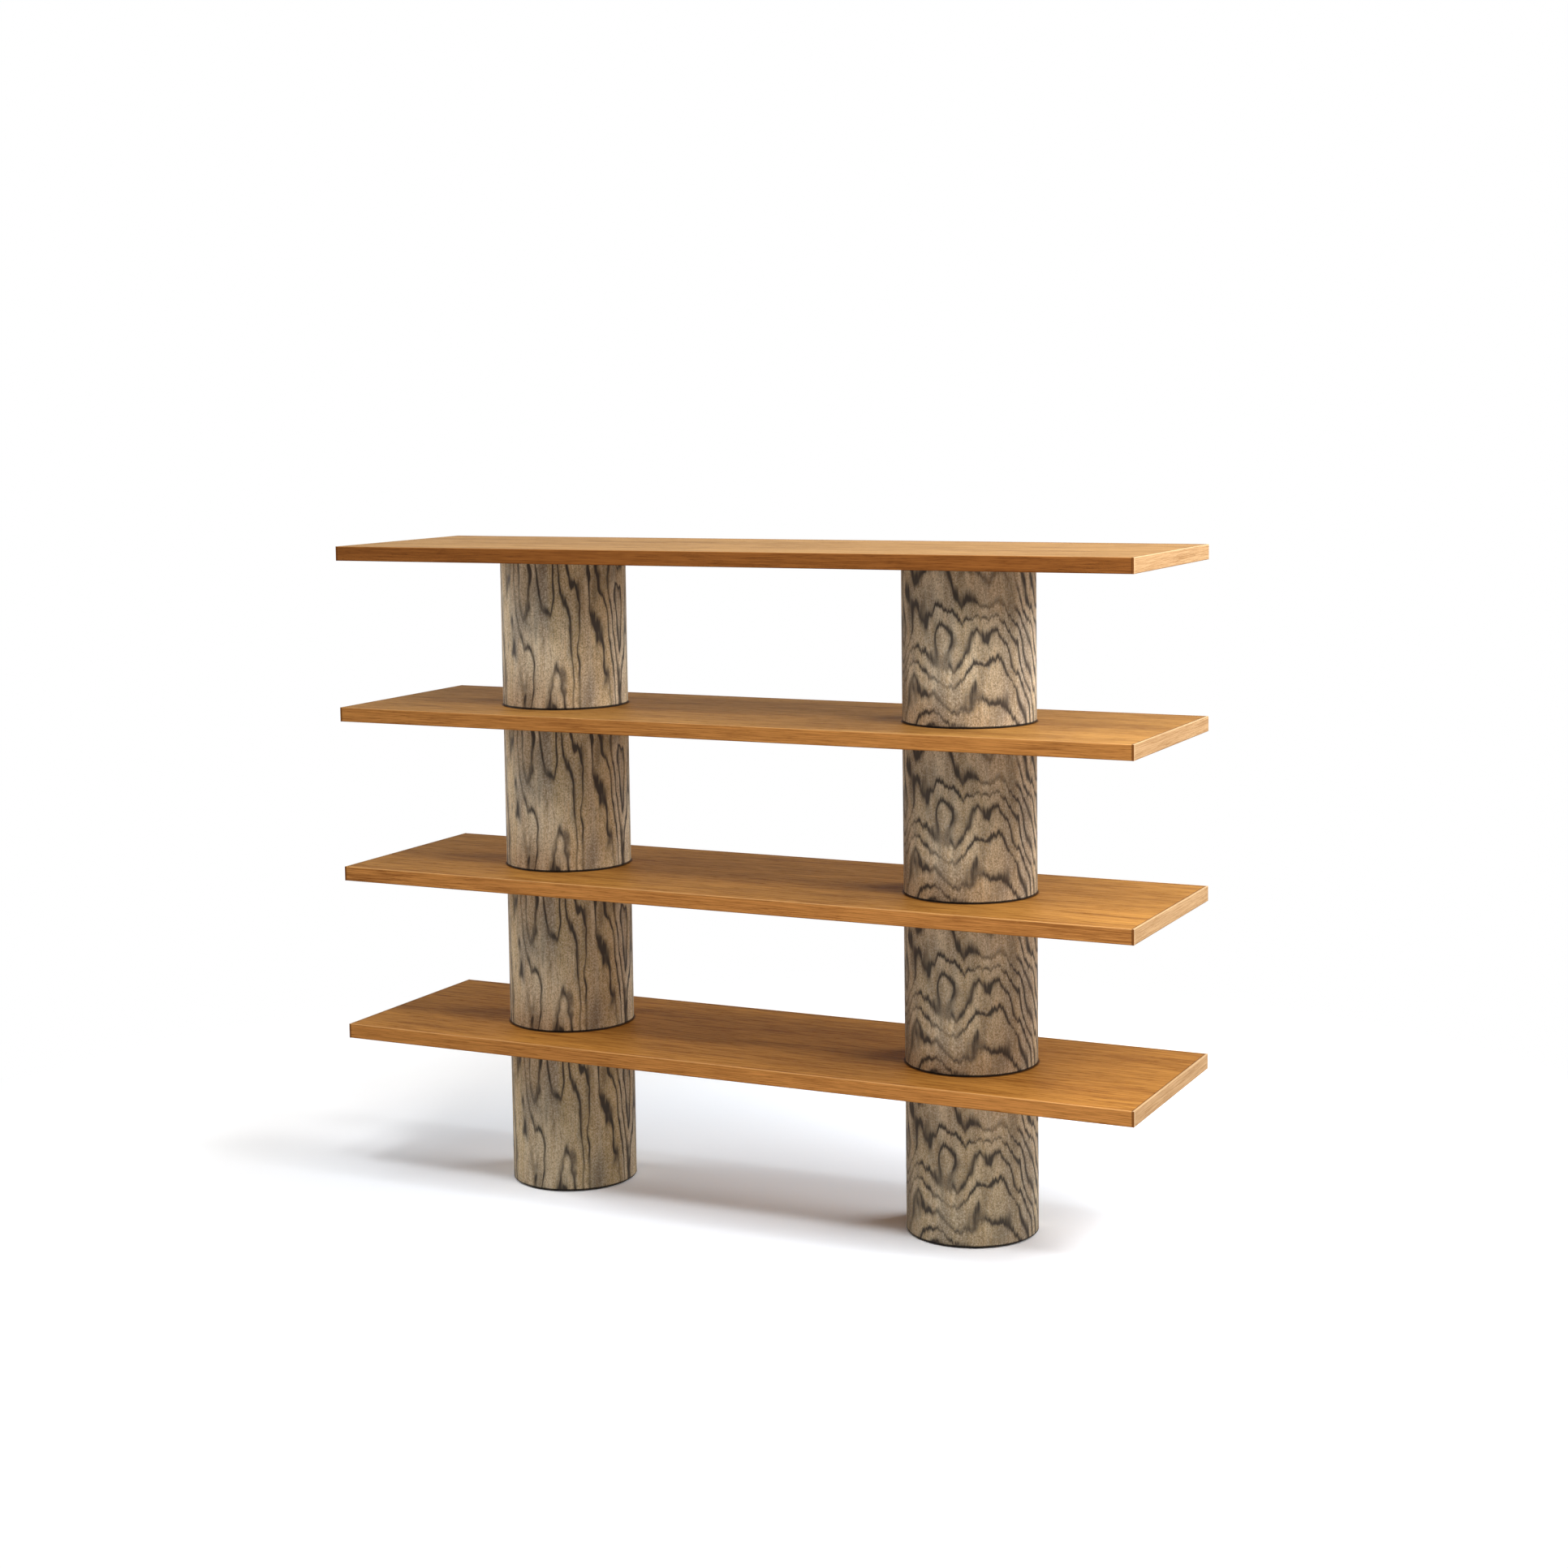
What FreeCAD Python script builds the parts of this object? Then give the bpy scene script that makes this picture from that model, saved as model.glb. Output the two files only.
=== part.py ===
import FreeCAD, Part
import os
import Sketcher

# Spine bookshelf: four veneered shelves stacked on two columns of drums, and
# each column is clamped from floor to top shelf by one tie rod.
# Millimetres. +Z is up, +X runs along the shelves and the front faces -Y.
# The origin lies on the floor, midway between the two columns.

SIZES = (
    # name, millimetres, what it measures
    ("shelf_length", 1524.0, "shelf over its end bands"),
    ("shelf_depth", 406.0, "shelf over its front and back bands"),
    ("core_thickness", 25.0, "board inside a shelf"),
    ("face_veneer", 0.6, "oak sheet on each face of the board"),
    ("edge_band", 3.0, "solid oak lipping round the board"),
    ("band_arris", 0.8, "rounding of the lipping's outer edges"),
    ("column_spacing", 802.0, "left column's axis to right column's axis"),
    ("column_diameter", 230.0, "column over its figured wrap"),
    ("segment_height", 270.0, "clear height between two shelves"),
    ("wrap_thickness", 0.6, "figured veneer round a drum"),
    ("wrap_arris", 0.25, "eased outer edge of the wrap"),
    ("drum_wall", 9.0, "bent plywood tube under the wrap"),
    ("reveal_height", 1.5, "shadow line between a drum and a shelf"),
    ("reveal_depth", 3.0, "shadow line, in from the column's surface"),
    ("plug_thickness", 18.0, "part of an end disc that sits in the drum"),
    ("plug_clearance", 0.1, "glue line round an end disc"),
    ("rod_diameter", 10.0, "tie rod"),
    ("rod_clearance", 0.5, "gap round the rod in discs and shelves"),
    ("thread_clearance", 0.05, "gap round the rod in nut and insert"),
    ("rod_tail", 2.0, "rod that stands below its nut"),
    ("rod_chamfer", 1.0, "lead-in at the ends of the rod"),
    ("nut_flats", 17.0, "nut across its flats"),
    ("nut_height", 8.0, "nut"),
    ("nut_bevel", 1.0, "fall of the nut's bevelled corners"),
    ("washer_diameter", 30.0, "washer"),
    ("washer_thickness", 2.5, "washer"),
    ("recess_clearance", 3.0, "finger room round the washer"),
    ("recess_spare", 1.5, "room between rod tail and the disc's face"),
    ("insert_diameter", 16.0, "threaded insert in the top shelf"),
    ("insert_length", 18.0, "threaded insert in the top shelf"),
    ("insert_end_gap", 1.0, "rod's end to the blind end of its insert"),
    ("dowel_diameter", 8.0, "locating dowel"),
    ("dowel_clearance", 0.1, "gap round a dowel in its hole"),
    ("dowel_grip", 14.0, "dowel's reach into a disc or the top shelf"),
    ("dowel_end_gap", 1.0, "dowel's end to the bottom of its hole"),
    ("dowel_chamfer", 0.8, "lead-in at the ends of a dowel"),
    ("dowel_spacing", 120.0, "front dowel to back dowel of a column"),
    ("foot_pad_thickness", 1.5, "felt disc under a column"),
    ("foot_pad_inset", 2.0, "felt, in from the lip of the base disc"),
    ("foot_pad_opening", 40.0, "hole in the felt, for a socket wrench"),
)

SIDES = {"left": -1, "right": 1}
LEVELS = (1, 2, 3, 4)
TOP_LEVEL = LEVELS[-1]

doc = FreeCAD.newDocument("SpineBookshelf")
sheet = doc.addObject("Spreadsheet::Sheet", "Sizes")
for row, (alias, millimetres, meaning) in enumerate(SIZES, start=1):
    sheet.set(f"A{row}", alias)
    sheet.set(f"B{row}", str(millimetres))
    sheet.setAlias(f"B{row}", alias)
    sheet.set(f"C{row}", meaning)
doc.recompute()


# ---------------------------------------------------------------- derived sizes

def size(alias):
    """Expression for one cell of the sheet."""
    return f"Sizes.{alias}"


SHELF_THICKNESS = "(Sizes.core_thickness + 2 * Sizes.face_veneer)"
SHELF_PITCH = f"({SHELF_THICKNESS} + Sizes.segment_height)"
BOARD_LENGTH = "(Sizes.shelf_length - 2 * Sizes.edge_band)"
BOARD_DEPTH = "(Sizes.shelf_depth - 2 * Sizes.edge_band)"
COLUMN_OFFSET = "(Sizes.column_spacing / 2)"
DOWEL_OFFSET = "(Sizes.dowel_spacing / 2)"

COLUMN_RADIUS = "(Sizes.column_diameter / 2)"
DRUM_RADIUS = f"({COLUMN_RADIUS} - Sizes.wrap_thickness)"
DRUM_BORE_RADIUS = f"({DRUM_RADIUS} - Sizes.drum_wall)"
DRUM_HEIGHT = "(Sizes.segment_height - 2 * Sizes.reveal_height)"
PLUG_RADIUS = f"({DRUM_BORE_RADIUS} - Sizes.plug_clearance)"
LIP_RADIUS = f"({COLUMN_RADIUS} - Sizes.reveal_depth)"
DISC_THICKNESS = "(Sizes.reveal_height + Sizes.plug_thickness)"

ROD_RADIUS = "(Sizes.rod_diameter / 2)"
ROD_HOLE_RADIUS = f"({ROD_RADIUS} + Sizes.rod_clearance)"
THREAD_RADIUS = f"({ROD_RADIUS} + Sizes.thread_clearance)"
NUT_CORNER_RADIUS = "(Sizes.nut_flats / sqrt(3))"
DOWEL_RADIUS = "(Sizes.dowel_diameter / 2)"
DOWEL_HOLE_RADIUS = f"({DOWEL_RADIUS} + Sizes.dowel_clearance)"
DOWEL_HOLE_DEPTH = "(Sizes.dowel_grip + Sizes.dowel_end_gap)"
WASHER_RADIUS = "(Sizes.washer_diameter / 2)"
RECESS_RADIUS = f"({WASHER_RADIUS} + Sizes.recess_clearance)"
RECESS_DEPTH = ("(Sizes.washer_thickness + Sizes.nut_height"
                " + Sizes.rod_tail + Sizes.recess_spare)")
ROD_REACH = "(Sizes.insert_length - Sizes.insert_end_gap)"
FOOT_PAD_RADIUS = f"({LIP_RADIUS} - Sizes.foot_pad_inset)"


def segment_bottom(level):
    """Height of the surface that a column's drum stands on."""
    return f"(Sizes.foot_pad_thickness + {level - 1} * {SHELF_PITCH})"


def shelf_bottom(level):
    """Height of a shelf's underside."""
    return f"({segment_bottom(level)} + Sizes.segment_height)"


WASHER_BOTTOM = f"({segment_bottom(1)} + {RECESS_DEPTH} - Sizes.washer_thickness)"
NUT_BOTTOM = f"({WASHER_BOTTOM} - Sizes.nut_height)"
ROD_BOTTOM = f"({NUT_BOTTOM} - Sizes.rod_tail)"
ROD_LENGTH = f"({shelf_bottom(TOP_LEVEL)} + {ROD_REACH} - {ROD_BOTTOM})"


def millimetres_of(expression):
    """Present value of an expression, to start a sketch near its final shape."""
    return float(sheet.evalExpression(expression))


# ------------------------------------------------------------- sketching helpers

def new_body(label, several_solids=False):
    body = doc.addObject("PartDesign::Body", label)
    body.AllowCompound = several_solids
    return body


def origin_feature(body, role):
    return next(item for item in body.Origin.OriginFeatures if item.Role == role)


def new_sketch(body, name, plane="XY_Plane", height=None):
    sketch = body.newObject("Sketcher::SketchObject", name)
    sketch.AttachmentSupport = [(origin_feature(body, plane), "")]
    sketch.MapMode = "FlatFace"
    if height:
        sketch.setExpression("AttachmentOffset.Base.z", height)
    return sketch


def dimension(sketch, kind, places, expression):
    """One named constraint that follows the sheet."""
    value = millimetres_of(expression)
    index = sketch.addConstraint(Sketcher.Constraint(kind, *places, value))
    name = f"{kind}_{index}"
    sketch.renameConstraint(index, name)
    sketch.setExpression(f"Constraints.{name}", expression)


# A sketch numbers its horizontal axis -1 and its vertical axis -2, and its origin
# is point 1 of the horizontal axis.
AXES = (-1, -2)
ORIGIN = (AXES[0], 1)


def hold_point(sketch, point, x, y, x_side=1, y_side=1):
    """Places a point at x, y from the sketch's origin; None means on that axis."""
    horizontal, vertical = AXES
    for kind, expression, side, axis in (
        ("DistanceX", x, x_side, vertical),
        ("DistanceY", y, y_side, horizontal),
    ):
        if expression is None:
            sketch.addConstraint(Sketcher.Constraint("PointOnObject", *point, axis))
        elif side > 0:
            dimension(sketch, kind, (*ORIGIN, *point), expression)
        else:
            dimension(sketch, kind, (*point, *ORIGIN), expression)


def circle(sketch, radius, x=None, y=None, x_side=1, y_side=1):
    centre_x = x_side * millimetres_of(x) if x else 0
    centre_y = y_side * millimetres_of(y) if y else 0
    centre = FreeCAD.Vector(centre_x, centre_y, 0)
    up = FreeCAD.Vector(0, 0, 1)
    edge = sketch.addGeometry(Part.Circle(centre, up, millimetres_of(radius)))
    hold_point(sketch, (edge, 3), x, y, x_side, y_side)
    dimension(sketch, "Radius", (edge,), radius)
    return edge


def polygon(sketch, corners):
    """Closed outline through (x, y) corners on the positive side of both axes."""
    points = [
        FreeCAD.Vector(
            millimetres_of(x) if x else 0,
            millimetres_of(y) if y else 0,
            0,
        )
        for x, y in corners
    ]
    count = len(points)
    edges = [
        sketch.addGeometry(Part.LineSegment(points[i], points[(i + 1) % count]))
        for i in range(count)
    ]
    for i, edge in enumerate(edges):
        following = edges[(i + 1) % count]
        sketch.addConstraint(Sketcher.Constraint("Coincident", edge, 2, following, 1))
    for edge, (x, y) in zip(edges, corners):
        hold_point(sketch, (edge, 1), x, y)


def centred_rectangle(sketch, length, depth):
    half_x = millimetres_of(length) / 2
    half_y = millimetres_of(depth) / 2
    corners = [
        FreeCAD.Vector(side_x * half_x, side_y * half_y, 0)
        for side_x, side_y in ((-1, -1), (1, -1), (1, 1), (-1, 1))
    ]
    front, right, back, left = [
        sketch.addGeometry(Part.LineSegment(corners[i], corners[(i + 1) % 4]))
        for i in range(4)
    ]
    for first, second in ((front, right), (right, back), (back, left), (left, front)):
        sketch.addConstraint(Sketcher.Constraint("Coincident", first, 2, second, 1))
    for edge in (front, back):
        sketch.addConstraint(Sketcher.Constraint("Horizontal", edge))
    for edge in (right, left):
        sketch.addConstraint(Sketcher.Constraint("Vertical", edge))
    sketch.addConstraint(Sketcher.Constraint("Symmetric", front, 1, right, 2, *ORIGIN))
    dimension(sketch, "DistanceX", (front, 1, front, 2), length)
    dimension(sketch, "DistanceY", (right, 1, right, 2), depth)


# ------------------------------------------------------------- feature helpers

FLAT = 1e-6


def pad(body, sketch, length):
    feature = body.newObject("PartDesign::Pad", f"{sketch.Name}_pad")
    feature.Profile = sketch
    feature.setExpression("Length", length)
    return feature


def pocket(body, sketch, depth=None, upward=True):
    """Cuts a sketch's outlines out of the body; no depth means right through."""
    feature = body.newObject("PartDesign::Pocket", f"{sketch.Name}_pocket")
    feature.Profile = sketch
    feature.Reversed = upward
    if depth is None:
        feature.Type = "ThroughAll"
    else:
        feature.Type = "Length"
        feature.setExpression("Length", depth)
    return feature


def revolution(body, sketch):
    """Turns a profile drawn on the XZ plane round the vertical axis."""
    feature = body.newObject("PartDesign::Revolution", f"{sketch.Name}_turn")
    feature.Profile = sketch
    feature.ReferenceAxis = (sketch, ["V_Axis"])
    feature.Angle = 360
    return feature


def edges_where(feature, wanted):
    """Names of the edges whose bounding box passes the test."""
    doc.recompute()
    return [
        f"Edge{number}"
        for number, edge in enumerate(feature.Shape.Edges, start=1)
        if wanted(edge.BoundBox)
    ]


def round_edges(body, base, wanted, radius):
    names = edges_where(base, wanted)
    feature = body.newObject("PartDesign::Fillet", f"{body.Name}_fillet")
    feature.Base = (base, names)
    feature.setExpression("Radius", radius)
    return feature


def chamfer_edges(body, base, wanted, width):
    names = edges_where(base, wanted)
    feature = body.newObject("PartDesign::Chamfer", f"{body.Name}_chamfer")
    feature.Base = (base, names)
    feature.setExpression("Size", width)
    return feature


def place(body, x=None, y=None, z=None):
    for axis, expression in (("x", x), ("y", y), ("z", z)):
        if expression:
            body.setExpression(f"Placement.Base.{axis}", expression)


# -------------------------------------------------------------------- shelves

def draw_holes(sketch, rod_radius, dowel_radius):
    """Rod hole and two dowel holes at each column, as drawn on a shelf's plane."""
    for x_side in SIDES.values():
        if rod_radius:
            circle(sketch, rod_radius, x=COLUMN_OFFSET, x_side=x_side)
        if dowel_radius:
            for y_side in (-1, 1):
                circle(sketch, dowel_radius, x=COLUMN_OFFSET, y=DOWEL_OFFSET,
                       x_side=x_side, y_side=y_side)


def add_sheet_piece(label, thickness, bottom):
    """Flat rectangle inside the bands: a board or a face veneer."""
    body = new_body(label)
    outline = new_sketch(body, f"{label}_outline")
    centred_rectangle(outline, BOARD_LENGTH, BOARD_DEPTH)
    pad(body, outline, thickness)
    place(body, z=bottom)
    return body


def drill(body, name, rod_radius, dowel_radius, depth=None):
    sketch = new_sketch(body, name)
    draw_holes(sketch, rod_radius, dowel_radius)
    pocket(body, sketch, depth)


def add_core(level):
    label = f"shelf_{level}_core"
    bottom = f"{shelf_bottom(level)} + Sizes.face_veneer"
    body = add_sheet_piece(label, size("core_thickness"), bottom)
    if level < TOP_LEVEL:
        drill(body, f"{label}_holes", ROD_HOLE_RADIUS, DOWEL_HOLE_RADIUS)
    else:
        insert_depth = "Sizes.insert_length - Sizes.face_veneer"
        dowel_depth = f"{DOWEL_HOLE_DEPTH} - Sizes.face_veneer"
        insert_radius = "Sizes.insert_diameter / 2"
        drill(body, f"{label}_insert_holes", insert_radius, None, insert_depth)
        drill(body, f"{label}_dowel_holes", None, DOWEL_HOLE_RADIUS, dowel_depth)
    return body


def add_bottom_veneer(level):
    label = f"shelf_{level}_bottom_veneer"
    body = add_sheet_piece(label, size("face_veneer"), shelf_bottom(level))
    rod_radius = ROD_HOLE_RADIUS if level < TOP_LEVEL else "Sizes.insert_diameter / 2"
    drill(body, f"{label}_holes", rod_radius, DOWEL_HOLE_RADIUS)
    return body


def add_top_veneer(level):
    label = f"shelf_{level}_top_veneer"
    bottom = f"{shelf_bottom(level)} + Sizes.face_veneer + Sizes.core_thickness"
    body = add_sheet_piece(label, size("face_veneer"), bottom)
    if level < TOP_LEVEL:
        drill(body, f"{label}_holes", ROD_HOLE_RADIUS, DOWEL_HOLE_RADIUS)
    return body


def add_long_band(level, name, y_side):
    """Front or back lipping, which fits between the two end bands."""
    label = f"shelf_{level}_{name}_band"
    body = new_body(label)
    outline = new_sketch(body, f"{label}_outline")
    centred_rectangle(outline, BOARD_LENGTH, size("edge_band"))
    block = pad(body, outline, SHELF_THICKNESS)

    def is_outer_long_edge(box):
        return y_side * box.Center.y > 0 and box.XLength > box.ZLength

    round_edges(body, block, is_outer_long_edge, size("band_arris"))
    place(body, y=f"{y_side} * (Sizes.shelf_depth - Sizes.edge_band) / 2",
          z=shelf_bottom(level))
    return body


def add_end_band(level, name, x_side):
    """Left or right lipping, which covers the ends of the long bands."""
    label = f"shelf_{level}_{name}_band"
    body = new_body(label)
    outline = new_sketch(body, f"{label}_outline")
    centred_rectangle(outline, size("edge_band"), size("shelf_depth"))
    block = pad(body, outline, SHELF_THICKNESS)

    def is_outer_edge(box):
        return x_side * box.Center.x > 0 and box.XLength < FLAT

    round_edges(body, block, is_outer_edge, size("band_arris"))
    place(body, x=f"{x_side} * (Sizes.shelf_length - Sizes.edge_band) / 2",
          z=shelf_bottom(level))
    return body


def add_shelf(level):
    return [
        add_core(level),
        add_top_veneer(level),
        add_bottom_veneer(level),
        add_long_band(level, "front", -1),
        add_long_band(level, "back", 1),
        add_end_band(level, "left", -1),
        add_end_band(level, "right", 1),
    ]


# -------------------------------------------------------------------- columns

def place_on_column(body, side, bottom):
    place(body, x=f"{SIDES[side]} * {COLUMN_OFFSET}", z=bottom)


def add_tube(label, side, level, outer_radius, inner_radius):
    """Open tube as long as a drum, standing on the lip of its lower disc."""
    body = new_body(label)
    outline = new_sketch(body, f"{label}_outline")
    circle(outline, outer_radius)
    circle(outline, inner_radius)
    pad(body, outline, DRUM_HEIGHT)
    place_on_column(body, side, f"{segment_bottom(level)} + Sizes.reveal_height")
    return body


def add_drum(side, level):
    label = f"{side}_drum_{level}"
    return add_tube(label, side, level, DRUM_RADIUS, DRUM_BORE_RADIUS)


def add_wrap(side, level):
    label = f"{side}_wrap_{level}"
    body = add_tube(label, side, level, COLUMN_RADIUS, DRUM_RADIUS)
    tube = body.Tip
    widest = 2 * millimetres_of(DRUM_RADIUS)

    def is_outer_rim(box):
        return box.ZLength < FLAT and box.XLength > widest + FLAT

    chamfer_edges(body, tube, is_outer_rim, size("wrap_arris"))
    return body


def draw_lower_disc(sketch, is_base):
    """Half section of a lower disc: lip below, plug above, rod hole inside."""
    plug_top = DISC_THICKNESS
    outline = [
        (LIP_RADIUS, None),
        (LIP_RADIUS, size("reveal_height")),
        (PLUG_RADIUS, size("reveal_height")),
        (PLUG_RADIUS, plug_top),
        (ROD_HOLE_RADIUS, plug_top),
    ]
    if is_base:
        outline += [
            (ROD_HOLE_RADIUS, RECESS_DEPTH),
            (RECESS_RADIUS, RECESS_DEPTH),
            (RECESS_RADIUS, None),
        ]
    else:
        outline.append((ROD_HOLE_RADIUS, None))
    polygon(sketch, outline)


def draw_upper_disc(sketch):
    """Half section of an upper disc: plug below, lip above, rod hole inside."""
    top = size("segment_height")
    lip_bottom = f"({top} - Sizes.reveal_height)"
    plug_bottom = f"({top} - {DISC_THICKNESS})"
    polygon(sketch, [
        (ROD_HOLE_RADIUS, plug_bottom),
        (PLUG_RADIUS, plug_bottom),
        (PLUG_RADIUS, lip_bottom),
        (LIP_RADIUS, lip_bottom),
        (LIP_RADIUS, top),
        (ROD_HOLE_RADIUS, top),
    ])


def add_discs(side, level):
    """The two rebated end discs that close one drum."""
    label = f"{side}_discs_{level}"
    body = new_body(label, several_solids=True)
    is_base = level == LEVELS[0]
    section = new_sketch(body, f"{label}_section", plane="XZ_Plane")
    draw_lower_disc(section, is_base)
    draw_upper_disc(section)
    revolution(body, section)
    dowel_faces = [("upper", size("segment_height"), False)]
    if not is_base:
        dowel_faces.append(("lower", None, True))
    for name, height, upward in dowel_faces:
        holes = new_sketch(body, f"{label}_{name}_holes", height=height)
        for y_side in (-1, 1):
            circle(holes, DOWEL_HOLE_RADIUS, y=DOWEL_OFFSET, y_side=y_side)
        pocket(body, holes, DOWEL_HOLE_DEPTH, upward)
    place_on_column(body, side, segment_bottom(level))
    return body


def add_column(side):
    pieces = []
    for level in LEVELS:
        pieces += [add_drum(side, level), add_wrap(side, level), add_discs(side, level)]
    return pieces


# ------------------------------------------------------------------- hardware

def mirror_to_left(body, features):
    """Repeats a right-hand piece at the left column."""
    feature = body.newObject("PartDesign::Mirrored", f"{body.Name}_mirror")
    feature.Originals = features
    feature.MirrorPlane = (origin_feature(body, "YZ_Plane"), [""])
    body.Tip = feature
    return feature


def add_tie_rod(side):
    label = f"{side}_tie_rod"
    body = new_body(label)
    outline = new_sketch(body, f"{label}_outline")
    circle(outline, ROD_RADIUS)
    shaft = pad(body, outline, ROD_LENGTH)
    chamfer_edges(body, shaft, lambda box: box.ZLength < FLAT, size("rod_chamfer"))
    place_on_column(body, side, ROD_BOTTOM)
    return body


def add_ring_pair(label, outer_radius, inner_radius, height, bottom):
    """A flat ring on each column's axis."""
    body = new_body(label, several_solids=True)
    outline = new_sketch(body, f"{label}_outline")
    for x_side in SIDES.values():
        circle(outline, outer_radius, x=COLUMN_OFFSET, x_side=x_side)
        circle(outline, inner_radius, x=COLUMN_OFFSET, x_side=x_side)
    pad(body, outline, height)
    place(body, z=bottom)
    return body


def draw_hexagon(sketch):
    """Hexagon round the right column's axis, with flats towards front and back."""
    centre = FreeCAD.Vector(millimetres_of(COLUMN_OFFSET), 0, 0)
    up = FreeCAD.Vector(0, 0, 1)
    arm = FreeCAD.Vector(millimetres_of(NUT_CORNER_RADIUS), 0, 0)
    corners = [
        centre + FreeCAD.Rotation(up, 60 * turn).multVec(arm)
        for turn in range(6)
    ]
    edges = [
        sketch.addGeometry(Part.LineSegment(corners[i], corners[(i + 1) % 6]))
        for i in range(6)
    ]
    guide = sketch.addGeometry(Part.Circle(centre, up, arm.Length), True)
    for i, edge in enumerate(edges):
        following = edges[(i + 1) % 6]
        sketch.addConstraint(Sketcher.Constraint("Coincident", edge, 2, following, 1))
        sketch.addConstraint(Sketcher.Constraint("PointOnObject", edge, 1, guide))
        if i:
            sketch.addConstraint(Sketcher.Constraint("Equal", edges[0], edge))
    sketch.addConstraint(Sketcher.Constraint("Horizontal", edges[1]))
    hold_point(sketch, (guide, 3), COLUMN_OFFSET, None)
    dimension(sketch, "Radius", (guide,), NUT_CORNER_RADIUS)


def draw_nut_bevels(sketch):
    """Two triangles that, turned round the nut's axis, take off its corners."""
    height = size("nut_height")
    inner = f"{COLUMN_OFFSET} + Sizes.nut_flats / 2"
    outer = f"{COLUMN_OFFSET} + 2 * {NUT_CORNER_RADIUS} - Sizes.nut_flats / 2"
    fall = "2 * Sizes.nut_bevel"
    polygon(sketch, [(inner, height), (outer, height), (outer, f"{height} - {fall}")])
    polygon(sketch, [(inner, None), (outer, None), (outer, fall)])
    foot = FreeCAD.Vector(millimetres_of(COLUMN_OFFSET), 0, 0)
    head = foot + FreeCAD.Vector(0, millimetres_of(height), 0)
    axis = sketch.addGeometry(Part.LineSegment(foot, head), True)
    hold_point(sketch, (axis, 1), COLUMN_OFFSET, None)
    hold_point(sketch, (axis, 2), COLUMN_OFFSET, height)


def add_nuts():
    """Hexagon nuts, made at the right column and mirrored to the left one."""
    label = "tie_rod_nuts"
    body = new_body(label, several_solids=True)
    outline = new_sketch(body, f"{label}_outline")
    draw_hexagon(outline)
    circle(outline, THREAD_RADIUS, x=COLUMN_OFFSET)
    block = pad(body, outline, size("nut_height"))
    bevels = new_sketch(body, f"{label}_bevels", plane="XZ_Plane")
    draw_nut_bevels(bevels)
    groove = body.newObject("PartDesign::Groove", f"{label}_groove")
    groove.Profile = bevels
    groove.ReferenceAxis = (bevels, ["Axis0"])
    groove.Angle = 360
    mirror_to_left(body, [block, groove])
    place(body, z=NUT_BOTTOM)
    return body


def add_dowels(label, length, bottom, rows=1):
    """Front and back dowel at each column, repeated shelf by shelf."""
    body = new_body(label, several_solids=True)
    outline = new_sketch(body, f"{label}_outline")
    draw_holes(outline, None, DOWEL_RADIUS)
    pins = pad(body, outline, length)
    chamfer_edges(body, pins, lambda box: box.ZLength < FLAT, size("dowel_chamfer"))
    if rows > 1:
        pattern = body.newObject("PartDesign::LinearPattern", f"{label}_pattern")
        pattern.TransformMode = "Whole shape"
        pattern.Direction = (origin_feature(body, "Z_Axis"), [""])
        pattern.Occurrences = rows
        pattern.setExpression("Length", f"{rows - 1} * {SHELF_PITCH}")
        body.Tip = pattern
    place(body, z=bottom)
    return body


def add_hardware():
    through_shelves = TOP_LEVEL - 1
    dowel_bottom = f"({shelf_bottom(1)} - Sizes.dowel_grip)"
    top_dowel_bottom = f"({shelf_bottom(TOP_LEVEL)} - Sizes.dowel_grip)"
    return [
        add_tie_rod("left"),
        add_tie_rod("right"),
        add_nuts(),
        add_ring_pair("tie_rod_washers", WASHER_RADIUS, ROD_HOLE_RADIUS,
                      size("washer_thickness"), WASHER_BOTTOM),
        add_ring_pair("top_shelf_inserts", "Sizes.insert_diameter / 2", THREAD_RADIUS,
                      size("insert_length"), shelf_bottom(TOP_LEVEL)),
        add_dowels("through_dowels", f"{SHELF_THICKNESS} + 2 * Sizes.dowel_grip",
                   dowel_bottom, rows=through_shelves),
        add_dowels("top_dowels", "2 * Sizes.dowel_grip", top_dowel_bottom),
        add_ring_pair("foot_pads", FOOT_PAD_RADIUS, "Sizes.foot_pad_opening / 2",
                      size("foot_pad_thickness"), None),
    ]


# -------------------------------------------------------------- check and write

CUTS = ("PartDesign::Pocket", "PartDesign::Groove")


def check(pieces):
    for item in doc.Objects:
        if "Invalid" in item.State or "Error" in item.State:
            raise RuntimeError(f"{item.Label} did not recompute: {item.State}")
        if item.TypeId in CUTS:
            removed = item.BaseFeature.Shape.Volume - item.Shape.Volume
            if removed <= 0:
                raise RuntimeError(f"{item.Label} cuts nothing")
    for piece in pieces:
        if piece.Shape.isNull() or not piece.Shape.isValid():
            raise RuntimeError(f"{piece.Label} has no valid shape")


def write(pieces):
    os.makedirs("parts", exist_ok=True)
    for piece in pieces:
        piece.Shape.exportStep(f"parts/{piece.Label}.step")
        count = len(piece.Shape.Solids)
        print(f"{piece.Label}: {count} solid(s), {piece.Shape.Volume / 1000:.1f} cm3")


pieces = []
for level in LEVELS:
    pieces += add_shelf(level)
for side in SIDES:
    pieces += add_column(side)
pieces += add_hardware()
doc.recompute()
check(pieces)
write(pieces)
print(f"{len(pieces)} pieces written")
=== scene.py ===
# %% [markdown]
# # Spine bookshelf
# Four long oak shelves are stacked on two round columns. Each column is a stack of short drums
# wrapped in grey-beige veneer with dark, smoky figure.
#
# The construction model already has every piece at its real size, so this script does not move or
# resize any of them. It adds what the construction model lacks: light, a camera, wood and metal
# finishes, and smooth veneer sleeves for the columns.

# %% Load the construction model
import math

import bpy
from mathutils import Matrix, Vector


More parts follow.
